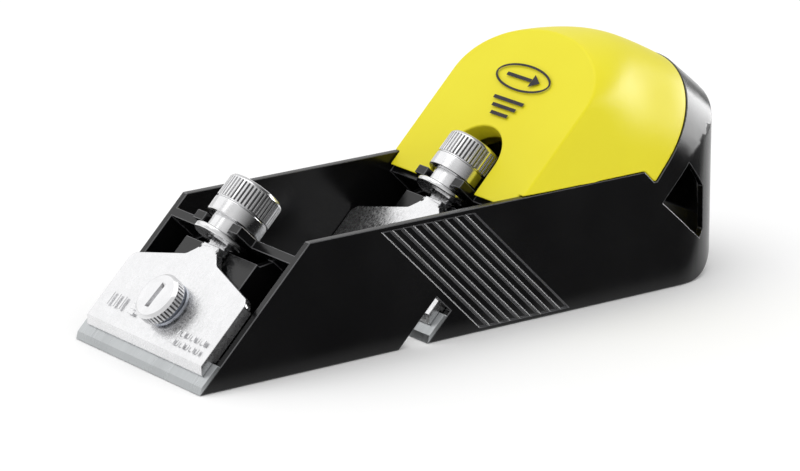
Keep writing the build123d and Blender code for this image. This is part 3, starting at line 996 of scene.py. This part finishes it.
def add_softbox(name, place, target, size, power, reflected_only=False):
    light = bpy.data.lights.new(name, "AREA")
    light.shape = "RECTANGLE"
    light.size, light.size_y = size
    light.energy = power
    holder = bpy.data.objects.new(name, light)
    bpy.context.scene.collection.objects.link(holder)
    holder.location = place
    holder.rotation_euler = (Vector(target) - Vector(place)).to_track_quat("-Z", "Y").to_euler()
    holder.visible_diffuse = not reflected_only
    return holder


def studio_world(strength):
    """White surroundings that fall off to grey on the side away from the softboxes."""
    world = bpy.data.worlds.new("studio")
    world.use_nodes = True
    tree = Tree(world.node_tree)
    background = world.node_tree.nodes["Background"]
    side = tree.add("ShaderNodeVectorMath", operation="DOT_PRODUCT")
    side.inputs[1].default_value = (0.78, -0.62, 0.1)
    tree.join(tree.add("ShaderNodeTexCoord").outputs["Generated"], side.inputs[0])
    shade = spread(tree, side.outputs["Value"], 0.9, 0.08, 0.0, 0.8)
    darker_in_reflections = tree.add("ShaderNodeMix", "Black flags under reflections", data_type="RGBA")
    darker_in_reflections.inputs["A"].default_value = (1, 1, 1, 1)
    tree.join(tree.add("ShaderNodeLightPath").outputs["Is Glossy Ray"], darker_in_reflections.inputs["Factor"])
    tint = tree.add("ShaderNodeCombineColor")
    for channel in tint.inputs:
        tree.join(shade, channel)
    tree.join(tint.outputs["Color"], darker_in_reflections.inputs["B"])
    tree.join(darker_in_reflections.outputs["Result"], background.inputs["Color"])
    background.inputs["Strength"].default_value = strength
    return world


class HANDPLANE_OT_stage(bpy.types.Operator):
    """Lays the pale floor, sets the lights and places the camera"""

    bl_idname = "handplane.stage"
    bl_label = "Stage"

    def execute(self, context):
        scene = context.scene
        view = scene.hand_plane_view
        bpy.ops.object.select_all(action="DESELECT")
        bpy.ops.mesh.primitive_plane_add(size=6)
        floor = context.object
        floor.name = "floor"
        bpy.ops.object.mode_set(mode="EDIT")
        bpy.ops.mesh.select_all(action="SELECT")
        bpy.ops.transform.translate(value=(0, 0, -0.1 * MM))
        done()
        floor.data.materials.append(material_named("floor_paper"))
        scene.world = studio_world(view.sky)
        middle = (0, 0, 0.03)
        add_softbox(
            "key_softbox", (-0.30, 0.80, 0.66), middle, (0.85, 0.65), view.key_power, reflected_only=True
        )
        add_softbox("top_softbox", (-0.15, 0.15, 1.0), middle, (0.9, 0.9), view.top_power)
        add_softbox(
            "heel_softbox", (0.95, -0.2, 0.2), middle, (1.1, 0.36), view.side_power, reflected_only=True
        )
        target = Vector((sum(corner[0] for corner in cad_box) / 2 - 0.0052, 0, 0.01739))
        level = cos(view.elevation)
        back = Vector((sin(view.azimuth) * level, -cos(view.azimuth) * level, sin(view.elevation)))
        camera = bpy.data.cameras.new("camera")
        camera.lens = view.lens
        camera.sensor_width = 36
        camera.clip_start = 0.05
        holder = bpy.data.objects.new("camera", camera)
        scene.collection.objects.link(holder)
        holder.location = target + back * view.distance
        holder.rotation_euler = (-back).to_track_quat("-Z", "Y").to_euler()
        scene.camera = holder
        scene.view_settings.view_transform = "Standard"
        return {"FINISHED"}


OPERATORS = (
    HANDPLANE_OT_finishes,
    HANDPLANE_OT_body,
    HANDPLANE_OT_handle,
    HANDPLANE_OT_travel_mark,
    HANDPLANE_OT_holders,
    HANDPLANE_OT_blades,
    HANDPLANE_OT_depth_nuts,
    HANDPLANE_OT_clamp_knobs,
    HANDPLANE_OT_stage,
)
SETTINGS = {
    "hand_plane_sizes": HandPlaneSizes,
    "hand_plane_finish": HandPlaneFinish,
    "hand_plane_view": HandPlaneView,
}


class HANDPLANE_PT_panel(bpy.types.Panel):
    """Lists the plane's settings and operators"""

    bl_idname = "HANDPLANE_PT_panel"
    bl_label = "Hand Plane"
    bl_space_type = "VIEW_3D"
    bl_region_type = "UI"
    bl_category = "Hand Plane"

    def draw(self, context):
        for operator in OPERATORS:
            self.layout.operator(operator.bl_idname)
        for name in SETTINGS:
            group = getattr(context.scene, name)
            for key in group.bl_rna.properties.keys():
                if key not in {"rna_type", "name"}:
                    self.layout.prop(group, key)


def register():
    for cls in (*SETTINGS.values(), *OPERATORS, HANDPLANE_PT_panel):
        bpy.utils.register_class(cls)
    for name, group in SETTINGS.items():
        setattr(bpy.types.Scene, name, bpy.props.PointerProperty(type=group))


def unregister():
    for name in SETTINGS:
        delattr(bpy.types.Scene, name)
    for cls in reversed((*SETTINGS.values(), *OPERATORS, HANDPLANE_PT_panel)):
        bpy.utils.unregister_class(cls)


def main():
    register()
    bpy.ops.handplane.finishes()
    bpy.ops.handplane.body()
    bpy.ops.handplane.handle()
    bpy.ops.handplane.travel_mark()
    bpy.ops.handplane.holders()
    bpy.ops.handplane.blades()
    bpy.ops.handplane.depth_nuts()
    bpy.ops.handplane.clamp_knobs()
    bpy.ops.handplane.stage()


if __name__ == "__main__":
    main()
